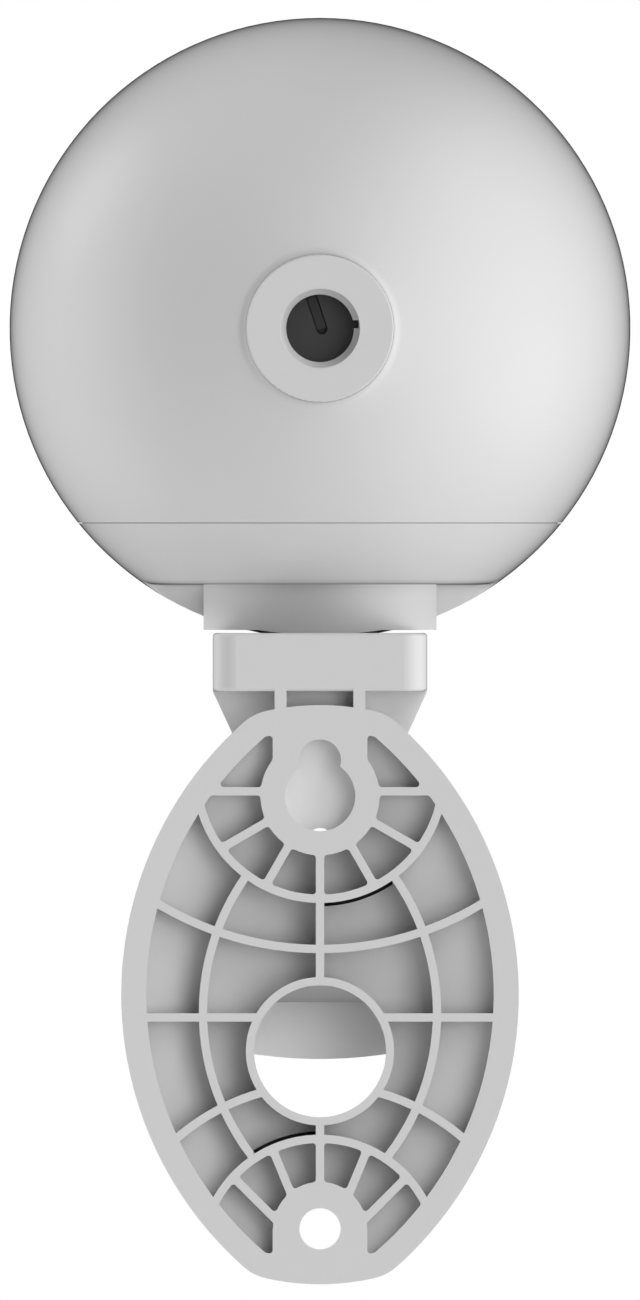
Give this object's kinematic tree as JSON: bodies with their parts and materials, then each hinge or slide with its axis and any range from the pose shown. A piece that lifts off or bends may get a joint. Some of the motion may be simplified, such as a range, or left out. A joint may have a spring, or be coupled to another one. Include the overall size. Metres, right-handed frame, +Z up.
{
  "type": "baby monitor camera",
  "caption": "White ball-shaped baby monitor camera on a ribbed oval wall bracket; the head pans on its base and a lens eye tilts inside it.",
  "frame": {"origin": "centre of the lower wall screw hole, on the plane of the wall", "axes": "+Z up, +Y into the wall, -Y out of the wall, the way the lens faces; +X to the camera's left, seen from its front"},
  "size_m": [0.0744, 0.0986, 0.1519],
  "materials": {
    "bracket_white": "satin moulded white",
    "shell_white": "satin white",
    "eye_white": "satin white",
    "button_white": "satin white",
    "bezel_grey": "fine satin grey",
    "inner_grey": "matte grey",
    "gear_nylon": "natural nylon",
    "washer_acetal": "smooth black acetal",
    "screw_steel": "bright zinc",
    "brass": "turned brass",
    "black_plastic": "matte black",
    "motor_can": "drawn steel",
    "port_lining": "matte white",
    "jack_black": "matte black",
    "contact_metal": "dull plated spring metal",
    "board_green": "solder mask",
    "board_black": "black solder mask",
    "shield_tin": "tinned sheet",
    "switch_black": "matte black",
    "light_pipe": "frosted clear",
    "window_black": "polished black",
    "barrel_black": "black anodised",
    "lens_glass": "coated glass",
    "led_clear": "clear resin"
  },
  "bodies": {
    "bracket": {"wall_bracket": "bracket_white", "base_shell": "shell_white", "base_deck": "inner_grey", "pan_ring_gear": "gear_nylon", "pan_thrust_washer": "washer_acetal", "pan_retainer": "screw_steel", "retainer_screw": "screw_steel", "deck_screws": "screw_steel", "threaded_insert": "brass", "mounting_screw": "screw_steel", "speaker": "black_plastic"},
    "head": {"head_rear_shell": "shell_white", "head_front_shell": "shell_white", "chassis": "inner_grey", "chassis_screws": "screw_steel", "pan_motor": "motor_can", "tilt_motor": "motor_can", "main_board": "board_green", "board_screws": "screw_steel", "processor_shield": "shield_tin", "radio_module": "shield_tin", "inlet_sleeve": "port_lining", "power_jack": "jack_black", "jack_contact": "contact_metal", "eye_bezel": "bezel_grey", "status_light": "light_pipe", "microphone": "shield_tin", "button_board": "board_green", "button_switch": "switch_black"},
    "eye": {"eye_front_shell": "eye_white", "eye_rear_shell": "eye_white", "trunnion_pins": "screw_steel", "tilt_sector": "gear_nylon", "face_window": "window_black", "lens_barrel": "barrel_black", "lens_glass": "lens_glass", "sensor_board": "board_green", "sensor_screws": "screw_steel", "infrared_board": "board_black", "infrared_leds": "led_clear", "light_sensor": "led_clear"},
    "pan_drive": {"pan_pinion": "gear_nylon"},
    "tilt_drive": {"tilt_pinion": "gear_nylon"},
    "button": {"pairing_button": "button_white"}
  },
  "joints": [
    {"name": "head_pan", "type": "hinge", "parent": "bracket", "child": "head", "pos_m": [0, -0.065, 0.10806], "axis": [0, 0, 1], "range_deg": [-60, 60]},
    {"name": "eye_tilt", "type": "hinge", "parent": "head", "child": "eye", "pos_m": [0, -0.081, 0.10806], "axis": [1, 0, 0], "range_deg": [-25, 35]},
    {"name": "pan_motor_shaft", "type": "hinge", "parent": "head", "child": "pan_drive", "pos_m": [0, -0.0498, 0.10806], "axis": [0, 0, 1], "range_deg": [-170, 170]},
    {"name": "tilt_motor_shaft", "type": "hinge", "parent": "head", "child": "tilt_drive", "pos_m": [-0.025, -0.06, 0.10806], "axis": [1, 0, 0], "range_deg": [-120, 86]},
    {"name": "button_press", "type": "slide", "parent": "head", "child": "button", "axis": [0, 0.2756, -0.9613], "range_m": [0, 0.0006], "stiffness_N_per_m": 600, "springref_m": -0.0008}
  ],
  "couplings": [
    {"joint": "pan_motor_shaft", "follows": "head_pan", "ratio": 2.8},
    {"joint": "tilt_motor_shaft", "follows": "eye_tilt", "ratio": -3.375}
  ]
}
